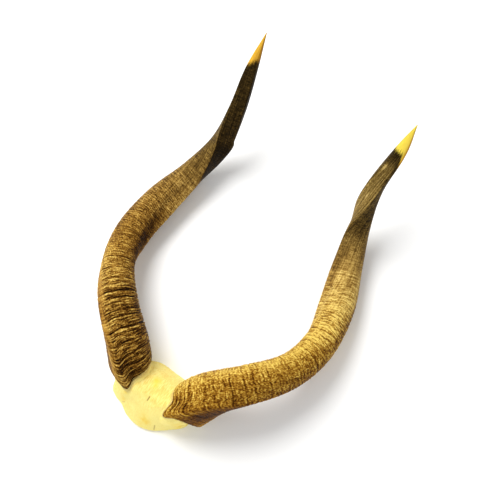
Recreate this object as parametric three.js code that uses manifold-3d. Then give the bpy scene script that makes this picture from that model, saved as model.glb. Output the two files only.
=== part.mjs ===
// Nyala skull cap: a sawn plate of skull bone that carries a pair of spiral horns.
// It lies on its sawn face, with the outward bend of each horn touching the same surface.
// Millimetres, +Z up, +Y from the brow towards the horn tips, X across the head.
// The origin is on that surface, under the middle of the whole piece.
import * as THREE from 'three';
import { mergeVertices } from 'three/addons/utils/BufferGeometryUtils.js';
import Module from 'manifold-3d';

// Driving dimensions: horns
// Centre line of the horn on +X, from base to tip, with its mean radius: x, y, z, radius.
// The other horn is its mirror image.
const HORN_LINE = [
  [45, -227, 34.5, 31.5],
  [69, -195, 60, 32],
  [112, -151, 69.5, 28],
  [150, -101, 58, 24],
  [165.5, -47, 40.5, 24.5],
  [159.5, 18, 28.2, 25],
  [141.5, 82, 29.5, 20],
  [125, 139, 51, 16],
  [119, 185, 96, 12.7],
  [126, 242, 132, 8.8],
  [129, 284, 157, 0.6],
];
const KEEL_GAP = 95; // degrees from the front keel round to the outer keel
const FRONT_KEEL = 0.13; // height of each keel over the mean radius
const OUTER_KEEL = 0.2;
const KEEL_SPREAD = 20; // degrees over which a keel falls away
const FACE_FLAT = 0.07; // how far the face between the keels is flattened
const FACE_SPREAD = 30;
const KEEL_GROWTH = { from: 0.45, to: 0.65, extra: 0.45 }; // higher keels above these shares of the horn
const KEEL_FADE = 0.12; // last share of the horn, over which the keels fade into a round tip
// A shallow flute behind the outer keel: its angle and spread, depth, and middle and reach along the horn.
const FLUTE = { angle: 130, spread: 17, depth: 0.12, middle: 0.47, reach: 0.11 };
const SECTION_ANGLES = [ // degrees from the front keel, closer together at the keels
  0, 10, 25, 42, 60, 78, 95, 105, 120, 140, 160, 180, 200, 222, 245, 270, 300, 330, 350,
];
const ARC_STEPS = 1200; // divisions in which the centre line is measured
const RING_COUNT = 22;
const RING_PITCH = 10;
const RING_HEIGHT = 1.1; // crest to groove at the base
const RING_FADE = 150; // distance over which the rings grow fainter
const SMOOTH_STEPS = 34; // stations along the smooth upper part
const SHEATH_WALL = 3.5;
const SOCKET_DEPTH = 42; // how far up the horn the bony stub reaches

// Driving dimensions of each horn: side, bearing of the front keel from the top along the horn,
// how far its tip reaches past the line, and its margin: mean height, tilt and the angle it tilts
// towards, and the drop and place of the lobe over the forehead.
const LOBE_SPREAD = 18;
const LOBE_FADE = 45; // distance over which the growth rings stop following the margin
const HORNS = {
  left_horn: {
    side: -1, bearings: [18, 72, 164, 208, 300, 305], tip: 5.5,
    margin: 21.5, tilt: -10.5, tiltAt: 340, lobe: 19, lobeAt: -10,
  },
  right_horn: {
    side: 1, bearings: [10, 42, 74, 104, 133, 161, 188, 216, 290, 333, 331], tip: -7.5,
    margin: 11.5, tilt: 4, tiltAt: 280, lobe: 25, lobeAt: -3,
  },
};

// Driving dimensions: skull plate
// Outline of the sawn plate: brow, right side, saddle between the horns, left side with its notch.
const PLATE_OUTLINE = [
  [-3, -285], [14, -282], [27, -276], [42, -265], [58, -252], [61, -238], [58, -215], [47, -201],
  [24, -192.5], [0, -190.5], [-25, -190], [-47, -200], [-61, -215], [-67, -241], [-64, -259], [-51, -268],
  [-41, -270.5], [-29, -278.5], [-17, -283],
];
const PLATE_CENTRE = [0, -236];
const PLATE_STEPS = 56; // points round the outline
const PLATE_RINGS = [0.2, 0.4, 0.55, 0.68, 0.8, 0.9, 0.97, 1]; // shares of the way out from its centre
const CREST_HEIGHT = 53;
const RIM_HEIGHT = 5;
const DOME_POWER = 3.2; // how late the dome falls away to its rim
const BROW_POWER = 1.7; // the same towards the brow, which slopes more evenly
const RIM_POWER = 8;
// Swellings of the dome on both sides of the head: at the foot of the horn, and over the eye.
const SWELLINGS = [
  { x: 33, y: -243, height: 9, spread: 20 },
  { x: 56, y: -249, height: 9, spread: 12 },
];
const HOLLOW_SIZE = [40, 29, 26]; // half length of the brain hollow along x, y and z
const HOLLOW_FACETS = [32, 16]; // round it, and from pole to pole
const STUB_START = -36; // where each bony stub starts inside the plate, along the horn's line
const STUB_FOOT = -19; // where it comes out of the plate
const STUB_INSET = { start: 13, foot: 4, collar: 1.2 }; // how far it lies inside the sheath's surface
const STUB_TUCK = 9; // further inset of the foot on the outer side of the head
const STUB_TUCK_AT = 115;
const STUB_TUCK_SPREAD = 60;
const SLEEVE_STATIONS = [10, 20, 30, 40, 50, 60]; // distances up the horn that need room in the bone
const GAP = 0.35; // clearance between horn and bone
const LIP_GAP = 1; // clearance under the lip of the sheath
const SLAB_SIZE = 400; // larger than the plate in every direction
const WELD = 1e-4; // corners closer than this are one

const BONE = { color: 0xf3e2a2, roughness: 0.75, metalness: 0 };
const HORN = { color: 0x8c6430, roughness: 0.55, metalness: 0 };

const wasm = await Module();
wasm.setup();

function smoothCurve(points, closed = false) {
  return new THREE.CatmullRomCurve3(points, closed, 'catmullrom');
}

// A smooth curve through plain numbers, read at 0 to 1.
function smoothNumbers(values) {
  const curve = smoothCurve(values.map((value) => new THREE.Vector3(value, 0, 0)));
  return (t) => curve.getPoint(t).x;
}

// The centre line of a horn, with its tip moved on along the last stretch.
function hornLine(tip) {
  const points = HORN_LINE.map(([x, y, z]) => new THREE.Vector3(x, y, z));
  const end = points.at(-1);
  end.addScaledVector(end.clone().sub(points.at(-2)).normalize(), tip);
  return smoothCurve(points);
}

function angleBetween(a, b) {
  return Math.abs(THREE.MathUtils.euclideanModulo(a - b + 180, 360) - 180);
}

function bell(x, spread) {
  return Math.exp(-((x / spread) ** 2));
}

// Two keels, the flattened face between them and the flute, as a factor on the mean radius
// at an angle and a share of the horn's length.
function sectionFactor(angle, share) {
  const front = FRONT_KEEL * Math.exp(-angleBetween(angle, 0) / KEEL_SPREAD);
  const outer = OUTER_KEEL * Math.exp(-angleBetween(angle, KEEL_GAP) / KEEL_SPREAD);
  const flat = FACE_FLAT * bell(angleBetween(angle, KEEL_GAP / 2), FACE_SPREAD);
  const growth = KEEL_GROWTH.extra * THREE.MathUtils.smoothstep(share, KEEL_GROWTH.from, KEEL_GROWTH.to);
  const fade = THREE.MathUtils.clamp((1 - share) / KEEL_FADE, 0, 1);
  const across = bell(angleBetween(angle, FLUTE.angle), FLUTE.spread);
  const flute = FLUTE.depth * across * bell(share - FLUTE.middle, FLUTE.reach);
  return 1 + fade * (1 + growth) * (front + outer - flat) - flute;
}

// The form of one horn: at(s, angle, inset, keeled) is the point a distance s along it from the base,
// at an angle from the front keel, inset from the surface, with its keels or round.
function hornForm({ side, bearings, tip, margin, tilt, tiltAt, lobe, lobeAt }) {
  const line = hornLine(tip);
  line.arcLengthDivisions = ARC_STEPS;
  const radius = smoothNumbers(HORN_LINE.map((row) => row[3]));
  const bearing = smoothNumbers(bearings);
  const length = line.getLength();

  function at(s, angle, inset, keeled) {
    const u = THREE.MathUtils.clamp(s / length, 0, 1);
    const along = line.getTangentAt(u);
    const centre = line.getPointAt(u).addScaledVector(along, Math.min(s, 0));
    const up = new THREE.Vector3(0, 0, 1).addScaledVector(along, -along.z).normalize();
    const out = new THREE.Vector3().crossVectors(along, up);
    const factor = keeled ? sectionFactor(angle, u) : 1;
    const reach = radius(line.getUtoTmapping(u)) * factor - inset;
    const turn = THREE.MathUtils.degToRad(bearing(u) + angle);
    centre.addScaledVector(up, reach * Math.cos(turn)).addScaledVector(out, reach * Math.sin(turn));
    centre.x *= side;
    return centre;
  }

  function marginAt(angle) {
    const slope = tilt * Math.cos(THREE.MathUtils.degToRad(angle - tiltAt));
    return margin + slope - lobe * bell(angleBetween(angle, lobeAt), LOBE_SPREAD);
  }

  return { side, length, at, marginAt };
}

// A closed skin over rings of points, with a fan of triangles at each end.
function skin(rings, mirrored) {
  const count = rings[0].length;
  const points = rings.flat();
  const faces = [];
  const put = (a, b, c) => faces.push(...(mirrored ? [a, c, b] : [a, b, c]));
  for (let i = 0; i + 1 < rings.length; i += 1) {
    for (let j = 0; j < count; j += 1) {
      const k = (j + 1) % count;
      const [a, b, c, d] = [i * count + j, i * count + k, (i + 1) * count + k, (i + 1) * count + j];
      put(a, b, c);
      put(a, c, d);
    }
  }
  const last = (rings.length - 1) * count;
  const middle = (ring) => ring.reduce((sum, p) => sum.add(p), new THREE.Vector3()).divideScalar(count);
  points.push(middle(rings[0]), middle(rings.at(-1)));
  for (let j = 0; j < count; j += 1) {
    const k = (j + 1) % count;
    put(points.length - 2, k, j);
    put(points.length - 1, last + j, last + k);
  }
  const geometry = new THREE.BufferGeometry().setFromPoints(points);
  geometry.setIndex(faces);
  return geometry;
}

function ringAt(form, station, inset, keeled = true) {
  return SECTION_ANGLES.map((angle) => form.at(station(angle), angle, inset(angle), keeled));
}

// A growth line: level with the margin at the base, and square to the horn further up.
function growthLine(form, s) {
  const follow = Math.exp(-s / LOBE_FADE);
  return (angle) => s + form.marginAt(angle) * follow;
}

// The horn: socket, lip at the lobed margin, ringed lower part, smooth upper part and tip.
function hornGeometry(form) {
  const rings = [
    ringAt(form, () => SOCKET_DEPTH, () => SHEATH_WALL),
    ringAt(form, form.marginAt, () => SHEATH_WALL),
    ringAt(form, form.marginAt, () => 0),
  ];
  const ringed = RING_COUNT * RING_PITCH;
  for (let i = 1; i <= 2 * RING_COUNT; i += 1) {
    const s = (i * RING_PITCH) / 2;
    const relief = (RING_HEIGHT / 2) * Math.exp(-s / RING_FADE);
    rings.push(ringAt(form, growthLine(form, s), () => (i % 2 ? relief : -relief)));
  }
  for (let i = 1; i <= SMOOTH_STEPS; i += 1) {
    const s = THREE.MathUtils.lerp(ringed, form.length, i / SMOOTH_STEPS);
    rings.push(ringAt(form, () => s, () => 0));
  }
  return skin(rings, form.side < 0);
}

// The bony stub inside the socket, with the collar that shows under the sheath.
function stubGeometry(form) {
  const underLip = (angle) => form.marginAt(angle) - LIP_GAP;
  const tucked = (inset) => (angle) => (
    inset + STUB_TUCK * bell(angleBetween(angle, STUB_TUCK_AT), STUB_TUCK_SPREAD));
  const inSocket = SHEATH_WALL + GAP;
  return skin([
    ringAt(form, () => STUB_START, tucked(STUB_INSET.start), false),
    ringAt(form, () => STUB_FOOT, tucked(STUB_INSET.foot), false),
    ringAt(form, underLip, tucked(STUB_INSET.collar)),
    ringAt(form, underLip, tucked(inSocket)),
    ringAt(form, () => SOCKET_DEPTH - GAP, () => inSocket),
  ], form.side < 0);
}

// The room that the lower part of a horn needs, with clearance, above its margin.
function sleeveGeometry(form) {
  const floor = (angle) => form.marginAt(angle) - 2 * LIP_GAP;
  const clear = () => -(GAP + RING_HEIGHT);
  return skin([
    ringAt(form, floor, () => 2 * SHEATH_WALL),
    ringAt(form, floor, clear),
    ...SLEEVE_STATIONS.map((s) => ringAt(form, growthLine(form, s), clear)),
  ], form.side < 0);
}

// The domed plate, closed flat below.
function domeGeometry() {
  const outline = smoothCurve(PLATE_OUTLINE.map(([x, y]) => new THREE.Vector3(x, y, 0)), true);
  const edge = outline.getSpacedPoints(PLATE_STEPS).slice(0, PLATE_STEPS);
  const centre = new THREE.Vector3(...PLATE_CENTRE, 0);
  const rings = PLATE_RINGS.map((share) => edge.map((p) => {
    const point = centre.clone().lerp(p, share);
    const toBrow = THREE.MathUtils.clamp((centre.y - p.y) / p.distanceTo(centre), 0, 1);
    const power = THREE.MathUtils.lerp(DOME_POWER, BROW_POWER, toBrow);
    const dome = (CREST_HEIGHT - RIM_HEIGHT) * (1 - share ** power);
    const swelling = SWELLINGS.reduce((sum, { x, y, height, spread }) => (
      sum + height * bell(Math.hypot(Math.abs(point.x) - x, point.y - y), spread)), 0);
    return point.setZ(RIM_HEIGHT + dome + swelling * (1 - share ** RIM_POWER));
  }));
  return skin([edge, ...rings.reverse()], false);
}

function hollowGeometry() {
  const hollow = new THREE.SphereGeometry(1, ...HOLLOW_FACETS);
  hollow.scale(...HOLLOW_SIZE);
  hollow.translate(...PLATE_CENTRE, 0);
  return hollow;
}

// A box whose floor is the sawn face, large enough to hold the whole plate.
function slabGeometry() {
  const slab = new THREE.BoxGeometry(SLAB_SIZE, SLAB_SIZE, SLAB_SIZE);
  slab.translate(...PLATE_CENTRE, SLAB_SIZE / 2);
  return slab;
}

function toSolid(geometry) {
  const bare = geometry.clone();
  bare.deleteAttribute('normal');
  bare.deleteAttribute('uv');
  const merged = mergeVertices(bare, WELD);
  const vertProperties = new Float32Array(merged.attributes.position.array);
  const triVerts = new Uint32Array(merged.index.array);
  return new wasm.Manifold(new wasm.Mesh({ numProp: 3, vertProperties, triVerts }));
}

function toGeometry(solid) {
  const mesh = solid.getMesh();
  const geometry = new THREE.BufferGeometry();
  geometry.setAttribute('position', new THREE.BufferAttribute(mesh.vertProperties, mesh.numProp));
  geometry.setIndex(new THREE.BufferAttribute(mesh.triVerts, 1));
  return geometry;
}

// The plate: dome, less the room for the horns, with the two stubs, sawn flat and hollowed below.
function plateGeometry(forms) {
  let bone = toSolid(domeGeometry());
  forms.forEach((form) => {
    bone = bone.subtract(toSolid(sleeveGeometry(form)));
  });
  forms.forEach((form) => {
    bone = bone.add(toSolid(stubGeometry(form)));
  });
  return toGeometry(bone.intersect(toSolid(slabGeometry())).subtract(toSolid(hollowGeometry())));
}

function addPiece(group, name, geometry, finish) {
  geometry.computeVertexNormals();
  const mesh = new THREE.Mesh(geometry, new THREE.MeshStandardMaterial(finish));
  mesh.name = name;
  group.add(mesh);
}

const forms = Object.fromEntries(
  Object.entries(HORNS).map(([name, values]) => [name, hornForm(values)]));
const skullCap = new THREE.Group();
addPiece(skullCap, 'skull_plate', plateGeometry(Object.values(forms)), BONE);
Object.entries(forms).forEach(([name, form]) => addPiece(skullCap, name, hornGeometry(form), HORN));

export default skullCap;
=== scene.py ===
"""Nyala skull cap: a sawn plate of skull bone with a pair of spiral horns, lying on its sawn face."""
import math

import bpy
import numpy as np
from mathutils import Matrix, Vector


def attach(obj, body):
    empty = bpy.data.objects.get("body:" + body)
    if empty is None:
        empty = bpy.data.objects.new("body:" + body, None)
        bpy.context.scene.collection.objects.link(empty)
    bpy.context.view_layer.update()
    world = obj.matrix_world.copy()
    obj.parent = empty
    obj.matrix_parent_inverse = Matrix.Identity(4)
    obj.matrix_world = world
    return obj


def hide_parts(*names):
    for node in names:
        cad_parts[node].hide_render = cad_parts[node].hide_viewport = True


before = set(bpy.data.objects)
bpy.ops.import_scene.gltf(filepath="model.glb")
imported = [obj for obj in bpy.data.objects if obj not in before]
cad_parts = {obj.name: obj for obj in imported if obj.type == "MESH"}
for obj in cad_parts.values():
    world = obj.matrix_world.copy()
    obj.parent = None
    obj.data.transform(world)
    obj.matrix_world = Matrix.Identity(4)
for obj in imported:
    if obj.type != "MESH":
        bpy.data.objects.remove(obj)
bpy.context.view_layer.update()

# Lengths are in millimetres and angles in degrees, until a mesh or a lamp is made in metres.
MM = 0.001

# Camera
PICTURE_SIZE = 480  # pixels
PICTURE_SCALE = 1.45  # millimetres a pixel at the aim
SENSOR = 36
CAMERA_DISTANCE = 1300
CAMERA_AIM = (-7.3, 16.4, 92.4)
CAMERA_TILT = 11.5  # away from looking straight down: about X, then Y, then Z
CAMERA_YAW = 11
CAMERA_ROLL = 30.85

# Studio
FLOOR_SIZE = 9000
FLOOR_CLOUDS = 0.4  # metres
FLOOR_TONES = ((0, (0.93, 0.93, 0.92)), (1, (0.95, 0.95, 0.945)))
FLOOR_ROUGHNESS = 0.9
FLOOR_SHEEN = 0.1
LAMP_SIZE = 1500
KEY_AT = (-1240, 530, 1860)  # towards the upper left of the picture
KEY_POWER = 56  # watts
FILL_AT = (500, -1500, 1100)  # from the side of the brow
FILL_POWER = 5
SKY_STRENGTH = 0.62

# Form of the horns: centre line of the one on +X with its mean radius, as x, y, z, radius
HORN_LINE = np.array([
    (45, -227, 34.5, 31.5), (69, -195, 60, 32), (112, -151, 69.5, 28), (150, -101, 58, 24),
    (165.5, -47, 40.5, 24.5), (159.5, 18, 28.2, 25), (141.5, 82, 29.5, 20), (125, 139, 51, 16),
    (119, 185, 96, 12.7), (126, 242, 132, 8.8), (129, 284, 157, 0.6),
])
LINE_STEPS = 4000
KEEL_GAP = 95  # from the front keel round to the outer keel
FRONT_KEEL = 0.13
OUTER_KEEL = 0.2
KEEL_SPREAD = 20
KEEL_ROUND = 2.5
FACE_FLAT = 0.07
FACE_SPREAD = 30
KEEL_GROWTH = (0.45, 0.65, 0.45)  # higher keels between these shares of the horn, by this much
KEEL_FADE = 0.12
FLUTE_AT = 130  # a shallow flute behind the outer keel, with its middle and reach along the horn
FLUTE_SPREAD = 17
FLUTE_DEPTH = 0.12
FLUTE_MIDDLE = 0.47
FLUTE_REACH = 0.11
SHEATH_WALL = 3.5
SOCKET_DEPTH = 42
LOBE_SPREAD = 18
LOBE_FADE = 45

# Fineness of the horn meshes
COLUMNS = 160
FIRST_ROW = 1.1
RINGED_LENGTH = 330
RINGED_STEP = 0.76
SMOOTH_ROWS = 125
SOCKET_ROWS = 8
LIP = ((0, 3.5), (-0.3, 2.4), (-0.4, 1.3), (-0.1, 0.5), (0.5, 0.1))  # along the horn, inset
LIP_REACH = 6  # how far up the horn the ragged lip moves its surface
TIP_SINK = 0.6  # from the last row of the tip in to the centre line, and on to its point
TIP_POINT = 0.5
GRAIN_RADIUS = 28  # the horn's surface is unrolled on a tube of this radius to place its grain
HORN_LENGTH = 613
SEARCH_STEP = 8  # every so many points of the centre line are tried to find the nearest one

# Relief of the horns. Layers of noise give their size along the horn, their size round it and their amount.
RAGGED_LIP = ((4.5, 4.5, 0.8), (1.9, 1.9, 0.6))
RING_WANDER = ((34, 17, 0.45), (8, 5, 0.225))
RING_BREAKS = ((16, 14, 0.6),)
RING_STEADY = 0.7
RING_LIMITS = (0.1, 1.1)
FIRST_RING = 3.0
RING_STRENGTHS = (0.4, 1.2)  # least and most
RING_WIDTHS = (0.6, 1.0)
RING_SPACINGS = (0.5, 1.45)
GROOVE_STEADY = 0.45
GROOVE_WIDTHS = (0.9, 1.3)
GROOVE_EDGE = (2.6, 1.2, 0.4)  # raised edge of a groove: distance from it, width, height
RIDGE_OFFSETS = ((11, 4, 1.1), (4, 2.6, 0.6))
RIDGE_SHIFT = 0.45
BEAD_LENGTH = 8
WRINKLES = ((1.9, 7, 1),)
LUMPS = ((3.2, 2.4, 1),)
FIBRES = ((55, 1.6, 0.1),)
SMOOTHER = (0.42, 0.68, 0.8)  # the fine relief fades between these shares of the horn, by this much
FINE_HEIGHT = 0.8
FINE_RANGE = 0.8
POINT_SHARE = 0.06
ARCH_REACH = 0.08
ARCH_SPREAD = 38
STEP_HEIGHT = 2.5
STEP_RISE = 0.05
STEP_DROP = (0.002, 0.01)
STEP_ANGLE = 6
STEP_SPREAD = 16

# What is left of the fine relief, lines and specks on the plain side of a horn
PLAIN_FINE = 0.35
PLAIN_LINES = 0.1
PLAIN_SPECKS = 0.4

# Colours of keratin from tone 0 to 1, on the lower part of each horn and on the upper part of both
LEFT_TONES = (
    (0.0, (0.0047, 0.0013, 0.0002)), (0.25, (0.0395, 0.0115, 0.0011)), (0.5, (0.179, 0.0755, 0.0082)),
    (0.75, (0.48, 0.259, 0.043)), (1.0, (0.88, 0.61, 0.145)),
)
RIGHT_TONES = (
    (0.0, (0.0047, 0.0012, 0.0001)), (0.25, (0.04, 0.0095, 0.0005)), (0.5, (0.18, 0.065, 0.0042)),
    (0.75, (0.485, 0.25, 0.027)), (1.0, (0.90, 0.64, 0.13)),
)
UPPER_TONES = (
    (0.0, (0.0047, 0.0026, 0.0005)), (0.25, (0.0395, 0.023, 0.0058)), (0.5, (0.179, 0.110, 0.026)),
    (0.75, (0.48, 0.330, 0.1)), (1.0, (0.88, 0.69, 0.28)),
)
UPPER_PART = (0.3, 0.8)
# Painted highlight along the keels: amount, spread round them and the shares over which it fades
KEEL_HIGHLIGHT = 0.07
KEEL_HIGHLIGHT_SPREAD = 9
KEEL_HIGHLIGHT_FADE = (0.5, 0.7)
BAND_EDGE = 3
BAND_END = 0.02
IVORY_EDGE = 0.008

# Each horn's own form and surface. Angles run round it from the front keel, shares from base to tip.
# Bearings turn the front keel at even steps along the horn, and tip moves its point out or in.
# The margin of the sheath lies this far along the horn, tilted most at one angle, with a lobe at another.
# Grooves are the clearest of the growth rings: place above the margin, and depth, negative where raised.
# Small rings of about the pitch lie between them, with a depth for each place above the margin.
# The rings fade to the factor plain on one side, at an angle for each share, between two distances from it.
# Wrinkles, ridges and lumps are finer relief. Beads give a ridge's steady part, beaded part and bead size.
# Lines across the horn and specks along it are colour, with a strength for each share.
# Tones run from 0, black brown, to 1, pale gold, for each share.
# Patches are lighter or darker, mostly painted light and shade on the sides turned to or from the key lamp,
# partly the horn's own tone: share, angle, reach along, spread round, change of tone.
# Bands have a tone of their own, darker, partly painted shade on faces turned from the key lamp and partly
# the horn's own darker colour: first and last angle, first and last share, tone.
# The arch bows the growth lines: share, angle, height. The worn step on the front keel is at a share.
# The ivory tip starts at a share, reaches further down on one side, and has a tone of its own.
# The ivory shade darkens one side of that tip, partly its own deeper orange and partly painted shade:
# angle, spread, change of tone.
HORNS = {
    "left_horn": {
        "side": -1, "bearings": (18, 72, 164, 208, 300, 305), "tip": 5.5,
        "margin": 21.5, "tilt": -10.5, "tilt_at": 340, "lobe": 19, "lobe_at": -10,
        "seed": 11, "pitch": 5.2,
        "plain_at": ((0, 23), (0.08, 14), (0.12, 7), (0.16, -1), (0.2, -12), (0.28, -24)),
        "plain": 0.2, "plain_span": (10, 28),
        "grooves": ((13, 0.9), (24, 0.9), (37, 0.8), (52, 0.9), (69, 1.6), (85, 1.2), (93, 1.3), (110, 1.4),
                    (119, 1.9), (130, 0.8), (138, 1.3), (155, 1.0), (173, 0.6), (209, 0.35), (225, 0.35),
                    (262, 0.25), (291, 0.2)),
        "small_rings": ((0, 0.45), (130, 0.45), (200, 0.2), (330, 0.05)),
        "wrinkle": 0.3, "ridge": 0.5, "ridge_period": 3.7, "beads": (0.6, 0.5, 6), "lump": 0.2,
        "lines": ((0, 0.74), (0.2, 0.62), (0.3, 0.34), (0.6, 0.26), (1, 0.16)),
        "specks": ((0, 0.4), (0.2, 0.46), (0.3, 0.48), (0.45, 0.42), (0.6, 0.3), (0.7, 0.3), (1, 0.26)),
        "tones": ((0, 0.54), (0.1, 0.49), (0.17, 0.52), (0.25, 0.6), (0.3, 0.6), (0.38, 0.55),
                  (0.45, 0.53), (0.55, 0.53), (0.62, 0.43), (0.68, 0.37), (0.76, 0.33), (0.86, 0.24),
                  (0.92, 0.13), (1, 0.1)),
        # patches: painted light and shade, partly the horn's own tone
        "light_shade_and_tone_patches": ((0.26, 315, 0.07, 50, 0.16), (0.06, 8, 0.05, 14, 0.08), (0.12, 350, 0.04, 18, 0.1),
                    (0.18, 338, 0.05, 16, 0.05), (0.05, 324, 0.035, 26, -0.16),
                    (0.31, 158, 0.045, 26, -0.3), (0.365, 130, 0.04, 28, -0.3),
                    (0.42, 128, 0.035, 20, -0.22), (0.5, 98, 0.1, 14, 0.12), (0.17, 235, 0.05, 18, -0.16)),
        # bands: painted shade, partly the horn's own darker colour
        "shade_and_tone_bands": ((-20, 94, 0.6, 0.72, 0.05), (-20, 94, 0.72, 0.95, 0.14)),
        "arch": (0.4, 170, 5), "step_at": 0.717,
        "ivory_from": 0.932, "ivory_reach": 0.018, "ivory_side": 110, "ivory_spread": 50,
        "ivory": 0.46, "ivory_shade": (335, 48, 0.55), "tones_below": LEFT_TONES,
    },
    "right_horn": {
        "side": 1, "bearings": (10, 42, 74, 104, 133, 161, 188, 216, 290, 333, 331), "tip": -7.5,
        "margin": 11.5, "tilt": 4, "tilt_at": 280, "lobe": 25, "lobe_at": -3,
        "seed": 23, "pitch": 5.0,
        "plain_at": ((0, 50),), "plain": 0.35, "plain_span": (15, 75),
        "grooves": ((11, 0.8), (19, 1.0), (32, 0.9), (52, 0.6), (65, 0.5), (87, 0.55), (104, 0.5),
                    (116, 0.7), (136, 0.5), (148, 0.5), (164, 0.5), (178, 0.6), (204, 0.7), (212, 0.4),
                    (220, 0.8), (238, 0.5), (247, 0.4), (263, 0.35), (280, 0.3), (340, -0.35),
                    (350, -0.5), (371, -0.3)),
        "small_rings": ((0, 0.3), (180, 0.35), (215, 0.75), (290, 0.65), (330, 0)),
        "wrinkle": 0.2, "ridge": 0.5, "ridge_period": 4.6, "beads": (0.35, 1.1, 3.2), "lump": 0.4,
        "lines": ((0, 0.26), (0.12, 0.2), (0.28, 0.2), (0.38, 0.42), (0.52, 0.4), (0.62, 0.2), (1, 0.12)),
        "specks": ((0, 0.46), (0.14, 0.52), (0.3, 0.54), (0.4, 0.32), (0.5, 0.24), (0.62, 0.22),
                   (0.72, 0.46), (1, 0.6)),
        "tones": ((0, 0.64), (0.1, 0.61), (0.2, 0.63), (0.3, 0.68), (0.4, 0.81), (0.5, 0.82), (0.57, 0.7),
                  (0.63, 0.56), (0.7, 0.46), (0.8, 0.4), (0.88, 0.4), (0.92, 0.26), (1, 0.2)),
        # patches: painted light and shade, partly the horn's own tone
        "light_shade_and_tone_patches": ((0.05, 275, 0.06, 30, 0.26), (0.14, 255, 0.06, 30, 0.2), (0.22, 230, 0.06, 30, 0.22),
                    (0.32, 208, 0.06, 30, 0.2), (0.08, 40, 0.1, 40, -0.3), (0.14, 335, 0.11, 20, 0.04),
                    (0.2, 34, 0.08, 34, -0.24), (0.3, 12, 0.07, 32, -0.22), (0.42, 228, 0.1, 24, 0.09),
                    (0.48, 284, 0.12, 20, -0.3), (0.35, 325, 0.06, 22, -0.15), (0.58, 112, 0.08, 22, -0.2),
                    (0.63, 212, 0.08, 18, -0.06), (0.77, 35, 0.1, 40, 0.15), (0.878, 18, 0.008, 10, 0.28),
                    (0.802, 47, 0.006, 7, 0.3)),
        # bands: painted shade, partly the horn's own darker colour
        "shade_and_tone_bands": ((97, 195, 0.685, 0.84, 0.3), (80, 165, 0.84, 0.905, 0.2), (-40, 80, 0.9, 0.95, 0.16)),
        "arch": (0.47, 212, 9), "step_at": None,
        "ivory_from": 0.928, "ivory_reach": 0.033, "ivory_side": 100, "ivory_spread": 22,
        "ivory": 1.3, "ivory_shade": (96, 28, 1.0), "tones_below": RIGHT_TONES,
    },
}

# Bone
VOXEL = 0.87
SMOOTH_ROUNDS = 24
SMOOTH_STEPS = (0.5, -0.52)  # towards the neighbours, then back
FAR_BELOW = 99  # stands for a point that is nowhere near a sheath
STUB_REACH = 45
BARE_BELOW = (0.2, 1.5)  # distances below the sheath's margin where the bone starts to show
COLLAR_WIDTH = 12
COLLAR_FULL = 0.3
SAWN_FACING = (0.6, 0.9)
SAWN_HEIGHT = 1.5
BONE_SEED = 51
BONE_RELIEF = ((11, 11, 0.45), (4, 4, 0.16), (1.7, 1.7, 0.07))
COLLAR_SEED = 54
COLLAR_RELIEF = ((2.2, 2.2, 0.35),)
COLLAR_DIP = 0.15
PIT_SEED = 56
PIT_SIZE = 2.3
PIT_EDGE = (0.1, 0.5)
PIT_DEPTH = 0.9
PIT_DARKNESS = 0.7
CRACK_DEPTH = 1.1
CRACKS = (  # from, to, half width, how dark
    ((-1.0, -246.8), (-0.6, -240.2), 0.65, 1.0), ((22.3, -271.5), (22.8, -277), 0.8, 0.6),
    ((-38.5, -268.5), (-34, -266.5), 0.7, 0.35),
)
STAINS = (  # x, y, spread
    (-5, -217, 7), (-2, -223, 6), (4, -226, 6), (3, -273, 8), (10, -274, 6), (-35, -255, 4), (-37, -262, 5),
    (53, -251, 8),
)
STAINED_ABOVE = 3
# Painted light: the bone is paler where it faces away from the key lamp, between these facings
PAINTED_LIGHT_FACING = (-0.8, -0.2)


# Numbers

def bell(distance, spread):
    return np.exp(-(distance / spread) ** 2)


def angle_between(a, b):
    return np.abs((a - b + 180) % 360 - 180)


def from_least(least, value):
    """A value from 0 to 1, raised so that it runs from the least to 1."""
    return least + (1 - least) * value


def smooth_step(value, low, high):
    share = np.clip((value - low) / (high - low), 0, 1)
    return share * share * (3 - 2 * share)


def read_along(table, place):
    """A value given at places along the horn, read between them."""
    places, values = zip(*table)
    return np.interp(place, places, values)


def smooth_curve(rows, t):
    """An even Catmull-Rom curve through the rows, read at t from 0 to 1."""
    rows = np.asarray(rows, float)
    ends = [2 * rows[:1] - rows[1:2], rows, 2 * rows[-1:] - rows[-2:-1]]
    padded = np.concatenate(ends)
    place = np.clip(t, 0, 1) * (len(rows) - 1)
    start = np.minimum(place.astype(int), len(rows) - 2)
    way = place - start
    if rows.ndim > 1:
        way = way[..., None]
    a, b, c, d = (padded[start + k] for k in range(4))
    bend = (2 * a - 5 * b + 4 * c - d) * way ** 2 + (3 * b - a - 3 * c + d) * way ** 3
    return 0.5 * (2 * b + (c - a) * way + bend)


def lattice(cell, seed):
    """Repeatable random numbers from -1 to 1 at whole-numbered points."""
    mixed = (cell[..., 0] * 73856093) ^ (cell[..., 1] * 19349663) ^ (cell[..., 2] * 83492791)
    mixed = (mixed ^ (seed * 2654435761)) & 0xFFFFFFFF
    mixed = ((mixed ^ (mixed >> 13)) * 1274126177) & 0xFFFFFFFF
    mixed = mixed ^ (mixed >> 16)
    return (mixed & 0xFFFF) / 32767.5 - 1


def noise(points, seed):
    """Smooth noise from -1 to 1."""
    cell = np.floor(points).astype(np.int64)
    way = points - cell
    way = way * way * (3 - 2 * way)
    total = np.zeros(points.shape[:-1])
    for corner in np.ndindex(2, 2, 2):
        weight = np.prod(np.where(corner, way, 1 - way), axis=-1)
        total += weight * lattice(cell + np.array(corner), seed)
    return total


def layered_noise(points, layers, seed):
    """The sum of layers of noise, each with its size along the first axis, size across it and amount."""
    total = 0
    for number, (along, across, amount) in enumerate(layers):
        total = total + amount * noise(points / (along, across, across), seed + number)
    return total


# Horns

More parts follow.
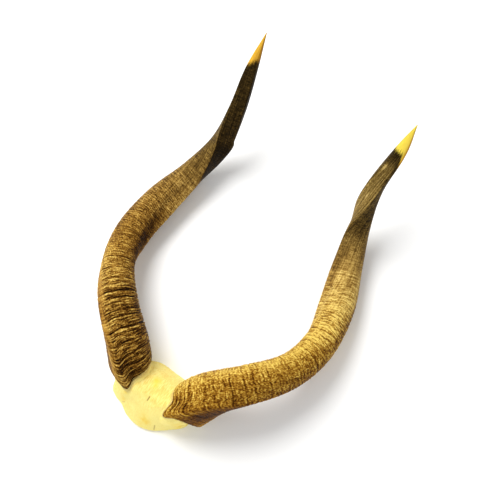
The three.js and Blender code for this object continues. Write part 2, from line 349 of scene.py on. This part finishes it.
class HornForm:
    """The surface of one horn, read a distance s along it and at an angle round it from the front keel."""

    def __init__(self, side, bearings, tip, margin, tilt, tilt_at, lobe, lobe_at, **_):
        self.side = side
        self.bearings = bearings
        self.margin = (margin, tilt, tilt_at, lobe, lobe_at)
        rows = HORN_LINE.copy()
        last = rows[-1, :3] - rows[-2, :3]
        rows[-1, :3] += tip * last / np.linalg.norm(last)
        rows = smooth_curve(rows, np.linspace(0, 1, LINE_STEPS + 1))
        self.line = rows[:, :3]
        self.radius = rows[:, 3]
        steps = np.linalg.norm(np.diff(self.line, axis=0), axis=1)
        self.arc = np.concatenate([[0], np.cumsum(steps)])
        self.length = self.arc[-1]
        tangent = np.gradient(self.line, self.arc, axis=0)
        self.tangent = tangent / np.linalg.norm(tangent, axis=1, keepdims=True)

    def read(self, table, s):
        """A table along the centre line, read at distances s."""
        if table.ndim == 1:
            return np.interp(s, self.arc, table)
        return np.stack([np.interp(s, self.arc, column) for column in table.T], axis=-1)

    def margin_at(self, angle):
        margin, tilt, tilt_at, lobe, lobe_at = self.margin
        slope = tilt * np.cos(np.radians(angle - tilt_at))
        return margin + slope - lobe * bell(angle_between(angle, lobe_at), LOBE_SPREAD)

    def growth_line(self, grown, angle):
        """Distance along the horn of the growth line that starts this far above the margin."""
        return grown + self.margin_at(angle) * np.exp(-np.maximum(grown, 0) / LOBE_FADE)

    def axes(self, s):
        along = self.read(self.tangent, s)
        up = np.array([0, 0, 1]) - along * along[..., 2:]
        up /= np.linalg.norm(up, axis=-1, keepdims=True)
        return along, up, np.cross(along, up)

    def section(self, angle, share):
        """Two keels, the flattened face between them and the flute, as a factor on the mean radius."""
        def fall(centre):
            away = angle_between(angle, centre)
            rounded = np.sqrt(away ** 2 + KEEL_ROUND ** 2) - KEEL_ROUND
            return np.exp(-rounded / KEEL_SPREAD)
        low, high, extra = KEEL_GROWTH
        strength = np.clip((1 - share) / KEEL_FADE, 0, 1) * (1 + extra * smooth_step(share, low, high))
        flat = FACE_FLAT * bell(angle_between(angle, KEEL_GAP / 2), FACE_SPREAD)
        flute = bell(angle_between(angle, FLUTE_AT), FLUTE_SPREAD) * bell(share - FLUTE_MIDDLE, FLUTE_REACH)
        keels = FRONT_KEEL * fall(0) + OUTER_KEEL * fall(KEEL_GAP)
        return 1 + strength * (keels - flat) - FLUTE_DEPTH * flute

    def at(self, s, angle, lift):
        share = np.clip(s / self.length, 0, 1)
        along, up, out = self.axes(s)
        centre = self.read(self.line, s) + along * np.minimum(s, 0)[..., None]
        reach = self.read(self.radius, s) * self.section(angle, share) + lift
        turn = np.radians(smooth_curve(self.bearings, share) + angle)
        points = centre + up * (reach * np.cos(turn))[..., None] + out * (reach * np.sin(turn))[..., None]
        points[..., 0] *= self.side
        return points

    def locate(self, points):
        """Distance along the horn and angle round it of points near its base, and distance to its line."""
        points = points * np.array([self.side, 1, 1])
        near = self.arc < 2 * SOCKET_DEPTH
        gaps = np.linalg.norm(points[:, None, :] - self.line[near][None, ::SEARCH_STEP, :], axis=-1)
        s = self.arc[near][::SEARCH_STEP][gaps.argmin(axis=1)]
        along, up, out = self.axes(s)
        offset = points - self.read(self.line, s)
        before = np.sum(offset * along, axis=-1)
        turn = np.degrees(np.arctan2(np.sum(offset * out, axis=-1), np.sum(offset * up, axis=-1)))
        s = s + np.where(s <= 0, np.minimum(before, 0), 0)
        angle = turn - smooth_curve(self.bearings, np.clip(s / self.length, 0, 1))
        return s, angle % 360, gaps.min(axis=1)


def horn_grain(look, grown, angle):
    """Place on the unrolled surface: along the growth, and round a tube so that it closes on itself."""
    share, turned, height = look["arch"]
    arch = bell(grown / HORN_LENGTH - share, ARCH_REACH) * bell(angle_between(angle, turned), ARCH_SPREAD)
    turn = np.radians(angle)
    round_tube = GRAIN_RADIUS * np.cos(turn), GRAIN_RADIUS * np.sin(turn)
    return np.stack([grown - height * arch, *round_tube], axis=-1)


def ringed_side(look, angle, share):
    """How clearly the rings show: least along one side of the horn."""
    plain_at = read_along(look["plain_at"], share)
    away = smooth_step(angle_between(angle, plain_at), *look["plain_span"])
    return from_least(look["plain"], away)


def ring_grooves(look, grown, ringed, grain):
    """Depth of the growth grooves, the clearest ones and smaller ones between, which come and go."""
    seed = look["seed"]
    draw = np.random.default_rng(seed)
    wander = layered_noise(grain, RING_WANDER, seed)
    breaks = np.clip(RING_STEADY + layered_noise(grain, RING_BREAKS, seed + 2), *RING_LIMITS)
    depth = np.zeros_like(grown)
    place = FIRST_RING
    while place < RINGED_LENGTH:
        strength = read_along(look["small_rings"], place) * draw.uniform(*RING_STRENGTHS)
        depth += strength * breaks * bell(grown + wander - place, draw.uniform(*RING_WIDTHS))
        place += look["pitch"] * draw.uniform(*RING_SPACINGS)
    edge_gap, edge_width, edge_height = GROOVE_EDGE
    for place, strength in look["grooves"]:
        away = grown + wander - place
        groove = bell(away, draw.uniform(*GROOVE_WIDTHS)) - edge_height * bell(away + edge_gap, edge_width)
        depth += strength * from_least(GROOVE_STEADY, breaks) * groove
    return depth * ringed


def broken_ridges(look, grown, grain):
    """Short ridges across the horn, each shifted against its neighbours and beaded along its length."""
    seed = look["seed"] + 20
    steady, beaded, size = look["beads"]
    shift = RIDGE_SHIFT * layered_noise(grain, RIDGE_OFFSETS, seed)
    wave = np.sin(2 * np.pi * (grown / look["ridge_period"] + shift))
    return wave * (steady + layered_noise(grain, ((BEAD_LENGTH, size, beaded),), seed + 2))


def keel_step(look, share, angle):
    """A worn step on the front keel, as on the upper part of one horn."""
    if look["step_at"] is None:
        return 0 * share
    beyond = share - look["step_at"]
    rise = smooth_step(beyond, -STEP_RISE, 0)
    drop = 1 - smooth_step(beyond, *STEP_DROP)
    return STEP_HEIGHT * rise * drop * bell(angle_between(angle, STEP_ANGLE), STEP_SPREAD)


def horn_relief(look, grown, angle, share, ringed):
    """Height over the plain form, its fine part from -1 to 1, and the depth of the grooves."""
    seed = look["seed"]
    grain = horn_grain(look, grown, angle)
    first, last, loss = SMOOTHER
    rough = 1 - loss * smooth_step(share, first, last)
    fine = look["wrinkle"] * layered_noise(grain, WRINKLES, seed + 3)
    fine += look["ridge"] * broken_ridges(look, grown, grain)
    fine += look["lump"] * layered_noise(grain, LUMPS, seed + 5)
    fine = fine * rough * from_least(PLAIN_FINE, ringed)
    fine += layered_noise(grain, FIBRES, seed + 6)
    groove = ring_grooves(look, grown, ringed, grain)
    point = np.clip((1 - share) / POINT_SHARE, 0, 1)
    height = (FINE_HEIGHT * fine - groove) * point + keel_step(look, share, angle)
    return height, np.clip(fine / FINE_RANGE, -1, 1), groove


def horn_inside(form, angles, margin, height):
    """Rows of points from the end of the socket out to the lip of the sheath."""
    rows = []
    for step in np.linspace(1, 0, SOCKET_ROWS, endpoint=False):
        depth = margin + (SOCKET_DEPTH - margin) * step
        rows.append(form.at(depth, angles, np.full(COLUMNS, -SHEATH_WALL)))
    for beyond, inset in LIP:
        rows.append(form.at(margin + beyond, angles, height - inset))
    return np.stack(rows)


def horn_ends(form, inside):
    """The middle of the socket's end, and the point of the tip."""
    tip = form.at(np.array([form.length]), np.array([0.0]), np.array([-TIP_SINK]))[0]
    tip += form.tangent[-1] * np.array([form.side, 1, 1]) * TIP_POINT
    return np.stack([inside[0].mean(axis=0), tip])


def horn_tone(look, share, angle):
    """Colour of the horn before its grain: along it, with painted light and shade in patches and bands, and
    a painted highlight on the keels.
    """
    tone = read_along(look["tones"], share)
    # Patches of painted light and shade, partly the horn's own tone.
    for place, turn, reach, spread, change in look["light_shade_and_tone_patches"]:
        tone = tone + change * bell(share - place, reach) * bell(angle_between(angle, turn), spread)
    # painted highlight along the two keels, fading out up the horn
    keels = sum(bell(angle_between(angle, keel), KEEL_HIGHLIGHT_SPREAD) for keel in (0, KEEL_GAP))
    tone = tone + KEEL_HIGHLIGHT * keels * (1 - smooth_step(share, *KEEL_HIGHLIGHT_FADE))
    # Bands of painted shade, partly the horn's own darker colour.
    for first, last, start, end, value in look["shade_and_tone_bands"]:
        middle, half = (first + last) / 2, (last - first) / 2
        within = 1 - smooth_step(angle_between(angle, middle), half - BAND_EDGE, half + BAND_EDGE)
        within = within * smooth_step(share, start - BAND_END, start + BAND_END)
        within = within * (1 - smooth_step(share, end - BAND_END, end + BAND_END))
        tone = tone + (value - tone) * within
    return tone


def horn_ivory(look, share, angle):
    """How far each point lies within the ivory tip, in steps of its ragged edge."""
    reach = look["ivory_reach"] * bell(angle_between(angle, look["ivory_side"]), look["ivory_spread"])
    return (share - look["ivory_from"] + reach) / IVORY_EDGE


def ivory_tone(look, angle):
    """Colour of the ivory before its grain, darker along one side: partly the tip's own deeper colour,
    partly painted shade.
    """
    turn, spread, change = look["ivory_shade"]
    return look["ivory"] - change * bell(angle_between(angle, turn), spread)


def build_horn(name, look):
    form = HornForm(**look)
    angles = np.arange(COLUMNS) * 360 / COLUMNS
    ringed_rows = np.arange(FIRST_ROW, RINGED_LENGTH, RINGED_STEP)
    smooth_rows = np.linspace(RINGED_LENGTH, form.length, SMOOTH_ROWS)
    grown, angle = np.meshgrid(np.concatenate([ringed_rows, smooth_rows]), angles, indexing="ij")
    s = form.growth_line(grown, angle)
    share = s / form.length
    ringed = ringed_side(look, angle, share)
    height, fine, groove = horn_relief(look, grown, angle, share, ringed)
    rim = horn_grain(look, 0 * angles, angles)
    ragged = layered_noise(rim, RAGGED_LIP, look["seed"] + 8)
    skin = form.at(s + ragged * bell(grown, LIP_REACH), angle, height)
    inside = horn_inside(form, angles, form.margin_at(angles) + ragged, height[0])
    points = np.concatenate([inside, skin])
    faces = grid_faces(len(points), COLUMNS, form.side < 0)
    points = np.concatenate([points.reshape(-1, 3), horn_ends(form, inside)])
    mesh = make_mesh(name + "_sheath", points, faces)

    surface = {  # on the skin, in the socket, at the socket's end and the tip's point
        "fine": (fine, -0.3, (-0.3, 0)),
        "groove": (groove, 0.5, (0.5, 0)),
        "lined": (read_along(look["lines"], share) * from_least(PLAIN_LINES, ringed), 0, (0, 0)),
        "tone": (horn_tone(look, share, angle), 0.35, (0.3, 0.3)),
        "ivory": (horn_ivory(look, share, angle), -9, (-9, 2)),
        "ivory_tone": (ivory_tone(look, angle), 0, (0, look["ivory"])),
        "specked": (read_along(look["specks"], share) * from_least(PLAIN_SPECKS, ringed), 0.3, (0, 0)),
        "upper": (smooth_step(share, *UPPER_PART), 0, (0, 1)),
        "plain": (1 - ringed, 0, (0, 0)),
    }
    for key, (on_skin, in_socket, at_ends) in surface.items():
        socket = np.full(inside.shape[0] * COLUMNS, in_socket)
        put_number(mesh, key, np.concatenate([socket, on_skin.ravel(), at_ends]))
    under = np.repeat(rim[None], len(inside), axis=0)
    grain = np.concatenate([under, horn_grain(look, grown, angle)]).reshape(-1, 3)
    put_vector(mesh, "grain", np.concatenate([grain, [(0, 0, 0), (form.length, 0, 0)]]))

    piece = add_object(name + "_sheath", mesh, horn_material(name + "_keratin", look["tones_below"]))
    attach(piece, "root")
    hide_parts(name)


# Meshes

def grid_faces(rows, columns, mirrored):
    """Quads of a tube of rows, with a fan of triangles at each end."""
    row, column = np.meshgrid(np.arange(rows - 1), np.arange(columns), indexing="ij")
    after = (column + 1) % columns
    corners = [row * columns + column, row * columns + after,
               (row + 1) * columns + after, (row + 1) * columns + column]
    quads = np.stack(corners, axis=-1).reshape(-1, 4)
    side = np.arange(columns)
    following = (side + 1) % columns
    last = (rows - 1) * columns
    start, end = rows * columns, rows * columns + 1
    first_fan = np.stack([np.full(columns, start), following, side], axis=-1)
    last_fan = np.stack([np.full(columns, end), last + side, last + following], axis=-1)
    faces = [*quads.tolist(), *first_fan.tolist(), *last_fan.tolist()]
    return [face[::-1] for face in faces] if mirrored else faces


def make_mesh(name, points, faces):
    mesh = bpy.data.meshes.new(name)
    mesh.from_pydata((points * MM).tolist(), [], faces)
    mesh.shade_smooth()
    return mesh


def put_number(mesh, name, values):
    layer = mesh.attributes.new(name, "FLOAT", "POINT")
    layer.data.foreach_set("value", np.asarray(values, np.float32))


def put_vector(mesh, name, values):
    layer = mesh.attributes.new(name, "FLOAT_VECTOR", "POINT")
    layer.data.foreach_set("vector", np.asarray(values, np.float32).ravel())


def add_object(name, mesh, material):
    piece = bpy.data.objects.new(name, mesh)
    bpy.context.scene.collection.objects.link(piece)
    mesh.materials.clear()
    mesh.materials.append(material)
    return piece


# Bone

def even_plate():
    """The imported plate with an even, fine mesh."""
    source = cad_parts["skull_plate"]
    rough = bpy.data.objects.new("plate_source", source.data.copy())
    bpy.context.scene.collection.objects.link(rough)
    even = rough.modifiers.new("even", "REMESH")
    even.mode = "VOXEL"
    even.voxel_size = VOXEL * MM
    held = rough.evaluated_get(bpy.context.evaluated_depsgraph_get())
    mesh = bpy.data.meshes.new_from_object(held)
    bpy.data.objects.remove(rough)
    mesh.name = "skull_bone"
    return mesh


def mesh_vectors(mesh, name):
    """A vector of each of the mesh's points, such as its place or its normal."""
    vectors = np.empty(len(mesh.vertices) * 3)
    mesh.vertices.foreach_get(name, vectors)
    return vectors.reshape(-1, 3)


def mesh_edges(mesh):
    edges = np.empty(len(mesh.edges) * 2, np.int32)
    mesh.edges.foreach_get("vertices", edges)
    return edges.reshape(-1, 2)


def set_points(mesh, points):
    mesh.vertices.foreach_set("co", (points * MM).astype(np.float32).ravel())
    mesh.update()


def smoothed(points, edges):
    """Points drawn towards their neighbours and back, so that corners round off and size is kept."""
    count = np.bincount(edges.ravel(), minlength=len(points))[:, None]
    for step in SMOOTH_STEPS * SMOOTH_ROUNDS:
        total = np.zeros_like(points)
        np.add.at(total, edges[:, 0], points[edges[:, 1]])
        np.add.at(total, edges[:, 1], points[edges[:, 0]])
        points = points + step * (total / count - points)
    return points


def near_segment(points, start, end):
    """Distance of points from a line between two places, seen from above."""
    start = np.array(start, float)
    along = np.array(end, float) - start
    way = np.clip((points[:, :2] - start) @ along / (along @ along), 0, 1)
    return np.linalg.norm(points[:, :2] - start - way[:, None] * along, axis=1)


def below_margins(points):
    """Distance of points below the margin of the nearer sheath."""
    below = np.full(len(points), float(FAR_BELOW))
    for look in HORNS.values():
        form = HornForm(**look)
        s, angle, gap = form.locate(points)
        here = np.where(gap < STUB_REACH, form.margin_at(angle) - s, FAR_BELOW)
        below = np.where(np.abs(here) < np.abs(below), here, below)
    return below


def cracks_at(points):
    """How deep each point lies in a crack, from 0 to 1."""
    crack = np.zeros(len(points))
    for start, end, width, darkness in CRACKS:
        crack = np.maximum(crack, darkness * bell(near_segment(points, start, end), width))
    return crack


def stains_at(points):
    """How strongly each point is stained, from 0 to 1."""
    stain = np.zeros(len(points))
    for x, y, spread in STAINS:
        stain = np.maximum(stain, bell(np.hypot(points[:, 0] - x, points[:, 1] - y), spread))
    return stain


def build_bone():
    mesh = even_plate()
    points = smoothed(mesh_vectors(mesh, "co") / MM, mesh_edges(mesh))
    set_points(mesh, points)
    normals = mesh_vectors(mesh, "normal")

    below = below_margins(points)
    bare = smooth_step(below, *BARE_BELOW)
    collar = bare * (1 - smooth_step(below, COLLAR_FULL * COLLAR_WIDTH, COLLAR_WIDTH))
    sawn = smooth_step(-normals[:, 2], *SAWN_FACING) * (points[:, 2] < SAWN_HEIGHT)
    outside = bare * (1 - sawn)
    crack = cracks_at(points) * (normals[:, 2] > 0)
    pits = sawn * smooth_step(noise(points / PIT_SIZE, PIT_SEED), *PIT_EDGE)

    relief = layered_noise(points, BONE_RELIEF, BONE_SEED)
    relief += collar * (layered_noise(points, COLLAR_RELIEF, COLLAR_SEED) - COLLAR_DIP)
    relief -= CRACK_DEPTH * crack
    points = points + normals * (relief * outside)[:, None]
    points[:, 2] = np.where(sawn > 0.5, PIT_DEPTH * pits, np.maximum(points[:, 2], 0))
    set_points(mesh, points)
    mesh.shade_smooth()

    facing = normals @ (np.array(KEY_AT) / np.linalg.norm(KEY_AT))
    surface = {
        "stain": stains_at(points) * (points[:, 2] > STAINED_ABOVE),
        "collar": collar,
        "dark": np.clip(crack + PIT_DARKNESS * pits, 0, 1),
        "sawn": sawn,
        # painted light: paler where the bone faces away from the key lamp
        "painted_light": smooth_step(-facing, *PAINTED_LIGHT_FACING) * (1 - sawn),
    }
    for key, values in surface.items():
        put_number(mesh, key, values)
    piece = add_object("skull_bone", mesh, bone_material())
    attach(piece, "root")
    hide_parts("skull_plate")


# Materials

class Nodes:
    """Short ways to add nodes to a new material."""

    def __init__(self, name):
        self.material = bpy.data.materials.new(name)
        self.material.use_nodes = True
        self.tree = self.material.node_tree
        self.shader = self.tree.nodes["Principled BSDF"]

    def put(self, socket, value):
        if isinstance(value, bpy.types.NodeSocket):
            self.tree.links.new(value, socket)
        else:
            socket.default_value = value

    def shade(self, **values):
        """Set or link the shader's inputs, named with _ for each space."""
        for name, value in values.items():
            self.put(self.shader.inputs[name.replace("_", " ")], value)

    def add(self, kind, inputs, **settings):
        node = self.tree.nodes.new("ShaderNode" + kind)
        for key, value in settings.items():
            setattr(node, key, value)
        for key, value in inputs.items():
            self.put(node.inputs[key], value)
        return node

    def math(self, operation, a, b):
        return self.add("Math", {0: a, 1: b}, operation=operation).outputs[0]

    def times(self, a, b):
        return self.math("MULTIPLY", a, b)

    def total(self, first, *others):
        for value in others:
            first = self.math("ADD", first, value)
        return first

    def centred(self, value, size=1.0):
        """A number from 0 to 1, taken from its middle and scaled."""
        return self.times(self.math("SUBTRACT", value, 0.5), size)

    def step(self, value, low, high):
        inputs = {"Value": value, "From Min": low, "From Max": high}
        return self.add("MapRange", inputs, interpolation_type="SMOOTHSTEP").outputs[0]

    def blend(self, factor, a, b):
        return self.add("Mix", {0: factor, 6: a, 7: b}, data_type="RGBA").outputs[2]

    def number(self, name):
        return self.add("Attribute", {}, attribute_name=name).outputs["Fac"]

    def vector(self, name):
        return self.add("Attribute", {}, attribute_name=name).outputs["Vector"]

    def place(self):
        return self.add("TexCoord", {}).outputs["Object"]

    def noise(self, vector, sizes, detail=3.0, roughness=0.5):
        """Noise whose features have these sizes, in the vector's units."""
        scale = tuple(1 / size for size in sizes)
        stretched = self.add("VectorMath", {0: vector, 1: scale}, operation="MULTIPLY").outputs[0]
        inputs = {"Vector": stretched, "Scale": 1.0, "Detail": detail, "Roughness": roughness}
        return self.add("TexNoise", inputs).outputs["Fac"]

    def ramp(self, value, stops):
        node = self.add("ValToRGB", {0: value})
        ramp = node.color_ramp
        while len(ramp.elements) < len(stops):
            ramp.elements.new(0.5)
        for element, (place, colour) in zip(ramp.elements, stops):
            element.position = place
            element.color = (*colour, 1)
        return node.outputs[0]

    def bump(self, height, strength, distance):
        return self.add("Bump", {"Strength": strength, "Distance": distance, "Height": height}).outputs[0]


# Grain of the keratin: sizes in millimetres along the horn and round it, and change of tone.
# Detail is a noise's finer layers and how strong they are.
LINE_SIZE = (1.25, 16, 16)
LINE_DETAIL = (3.0, 0.65)
LINE_EDGE = (0.32, 0.68)
SPECK_SIZE = (3.0, 1.3, 1.3)
SPECK_DETAIL = (4.0, 0.7)
SPECK_EDGE = (0.3, 0.7)
STREAK_SIZE = (45, 2.2, 2.2)
STREAK_TONE = 0.2
STREAK_MORE = 0.55  # on the plain side and on the upper part
PATCH_SIZE = (22, 12, 12)
PATCH_TONE = 0.24
PATCH_LESS = -0.16  # on the upper part
# Painted light and shade: raised fine relief is lighter, its hollows and the grooves darker
RELIEF_LIGHT_AND_SHADE = 0.28
GROOVE_SHADE = -0.34
IVORY_TONES = ((0.0, (0.30, 0.13, 0.008)), (0.4, (0.72, 0.38, 0.035)), (1.0, (1.0, 0.76, 0.09)))
IVORY_TEETH = (16, 1.3, 1.3)
IVORY_RAGGED = 6.0
IVORY_BLEND = (-0.5, 0.5)
IVORY_STREAKS = (40, 3, 3)
IVORY_STREAK_TONE = 0.9
HORN_ROUGHNESS = 0.5
HORN_ROUGHNESS_SPREAD = 0.16
HORN_SHEEN = 0.06
SHEEN_TINT = (1, 0.7, 0.32, 1)
HORN_BUMP = (0.9, 0.0016)  # strength, height in metres


def horn_tones(make, lines, specks, grain):
    """Tone of the keratin, from its own tone, its grain, and painted light and shade on its relief and
    grooves.
    """
    upper = make.number("upper")
    patchy = make.total(make.times(upper, PATCH_LESS), PATCH_TONE)
    streaky = make.total(make.times(make.total(make.number("plain"), upper), STREAK_MORE), STREAK_TONE)
    return make.total(
        make.times(make.centred(lines), make.number("lined")),
        make.times(make.centred(specks), make.number("specked")),
        # painted light and shade on the relief and in the grooves
        make.times(make.number("fine"), RELIEF_LIGHT_AND_SHADE),
        make.times(make.number("groove"), GROOVE_SHADE),
        make.times(make.centred(make.noise(grain, PATCH_SIZE)), patchy),
        make.times(make.centred(make.noise(grain, STREAK_SIZE)), streaky),
        make.number("tone"),
    )


def horn_material(name, lower_tones):
    make = Nodes(name)
    grain = make.vector("grain")
    lines = make.step(make.noise(grain, LINE_SIZE, *LINE_DETAIL), *LINE_EDGE)
    specks = make.step(make.noise(grain, SPECK_SIZE, *SPECK_DETAIL), *SPECK_EDGE)
    tone = horn_tones(make, lines, specks, grain)
    keratin = make.blend(make.number("upper"), make.ramp(tone, lower_tones), make.ramp(tone, UPPER_TONES))
    edge = make.total(make.number("ivory"), make.centred(make.noise(grain, IVORY_TEETH), IVORY_RAGGED))
    streaks = make.centred(make.noise(grain, IVORY_STREAKS), IVORY_STREAK_TONE)
    ivory = make.ramp(make.total(streaks, make.number("ivory_tone")), IVORY_TONES)
    height = make.total(make.times(lines, make.number("lined")), make.times(specks, make.number("specked")))
    make.shade(
        Base_Color=make.blend(make.step(edge, *IVORY_BLEND), keratin, ivory),
        Roughness=make.total(make.centred(specks, HORN_ROUGHNESS_SPREAD), HORN_ROUGHNESS),
        Specular_IOR_Level=HORN_SHEEN,
        Specular_Tint=SHEEN_TINT,
        Normal=make.bump(height, *HORN_BUMP),
    )
    return make.material


# Grain of the bone: sizes in metres
CLOUD_SIZE = (0.016, 0.016, 0.016)
CLOUD_DETAIL = 4.0
FIBRE_SIZE = (0.0011, 0.009, 0.004)
FIBRE_TONE = 2.0
PORE_SIZE = (0.0012, 0.0012, 0.0012)
BONE_TONES = ((0.2, (0.77, 0.55, 0.12)), (0.5, (0.85, 0.67, 0.18)), (0.8, (0.89, 0.76, 0.26)))
COATS = {  # strength and colour over the bone, in order
    # painted light: a paler coat standing in for light the slopes away from the key lamp do not get
    "painted_light": (0.75, (1.0, 0.87, 0.28, 1)),  # paler on the slopes away from the key lamp
    "stain": (0.85, (0.90, 0.62, 0.06, 1)),
    "collar": (0.9, (0.52, 0.37, 0.13, 1)),
    "sawn": (0.7, (0.80, 0.66, 0.30, 1)),
    "dark": (1.0, (0.24, 0.13, 0.03, 1)),  # cracks and pits
}
STAIN_EDGE = (0.35, 0.65)
COLLAR_EDGE = (0.2, 0.6)
BONE_ROUGHNESS = 0.72
BONE_ROUGHNESS_SPREAD = 0.25
BONE_SHEEN = 0.25
BONE_BUMP = (0.6, 0.0006)  # strength, height in metres


def bone_material():
    make = Nodes("dry_bone")
    place = make.place()
    clouds = make.noise(place, CLOUD_SIZE, CLOUD_DETAIL)
    fibres = make.noise(place, FIBRE_SIZE)
    pores = make.noise(place, PORE_SIZE)
    covers = {name: make.number(name) for name in COATS}
    covers["stain"] = make.times(covers["stain"], make.step(clouds, *STAIN_EDGE))
    covers["collar"] = make.times(covers["collar"], make.step(pores, *COLLAR_EDGE))
    colour = make.ramp(make.total(clouds, make.centred(fibres, FIBRE_TONE)), BONE_TONES)
    for name, (strength, tint) in COATS.items():
        colour = make.blend(make.times(covers[name], strength), colour, tint)
    make.shade(
        Base_Color=colour,
        Roughness=make.total(make.centred(pores, BONE_ROUGHNESS_SPREAD), BONE_ROUGHNESS),
        Specular_IOR_Level=BONE_SHEEN,
        Normal=make.bump(make.total(pores, fibres), *BONE_BUMP),
    )
    return make.material


def floor_material():
    make = Nodes("pale_floor")
    clouds = make.noise(make.place(), (FLOOR_CLOUDS, FLOOR_CLOUDS, FLOOR_CLOUDS))
    make.shade(
        Base_Color=make.ramp(clouds, FLOOR_TONES),
        Roughness=FLOOR_ROUGHNESS,
        Specular_IOR_Level=FLOOR_SHEEN,
    )
    return make.material


# Studio

def add_floor():
    half = FLOOR_SIZE / 2
    corners = np.array([(-half, -half, 0), (half, -half, 0), (half, half, 0), (-half, half, 0)], float)
    floor = add_object("floor", make_mesh("floor", corners, [(0, 1, 2, 3)]), floor_material())


def add_lamp(name, place, power):
    data = bpy.data.lights.new(name, "AREA")
    data.shape = "DISK"
    data.size = LAMP_SIZE * MM
    data.energy = power
    lamp = bpy.data.objects.new(name, data)
    lamp.location = Vector(place) * MM
    lamp.rotation_euler = (-lamp.location).to_track_quat("-Z", "Y").to_euler()
    bpy.context.scene.collection.objects.link(lamp)


def add_lights():
    world = bpy.data.worlds.new("studio")
    world.use_nodes = True
    sky = world.node_tree.nodes["Background"]
    sky.inputs["Color"].default_value = (1, 1, 1, 1)
    sky.inputs["Strength"].default_value = SKY_STRENGTH
    bpy.context.scene.world = world
    add_lamp("key", KEY_AT, KEY_POWER)
    add_lamp("fill", FILL_AT, FILL_POWER)


def add_camera():
    data = bpy.data.cameras.new("camera")
    data.sensor_width = SENSOR
    data.lens = SENSOR * CAMERA_DISTANCE / (PICTURE_SCALE * PICTURE_SIZE)
    camera = bpy.data.objects.new("camera", data)
    turn = Matrix.Identity(4)
    for angle, axis in ((CAMERA_TILT, "X"), (CAMERA_YAW, "Y"), (CAMERA_ROLL, "Z")):
        turn = turn @ Matrix.Rotation(math.radians(angle), 4, axis)
    aim = Matrix.Translation(Vector(CAMERA_AIM) * MM)
    camera.matrix_world = aim @ turn @ Matrix.Translation((0, 0, CAMERA_DISTANCE * MM))
    bpy.context.scene.collection.objects.link(camera)
    bpy.context.scene.camera = camera


add_camera()
bpy.context.scene.view_settings.view_transform = "Standard"
add_floor()
add_lights()
for horn_name, horn_look in HORNS.items():
    build_horn(horn_name, horn_look)
build_bone()
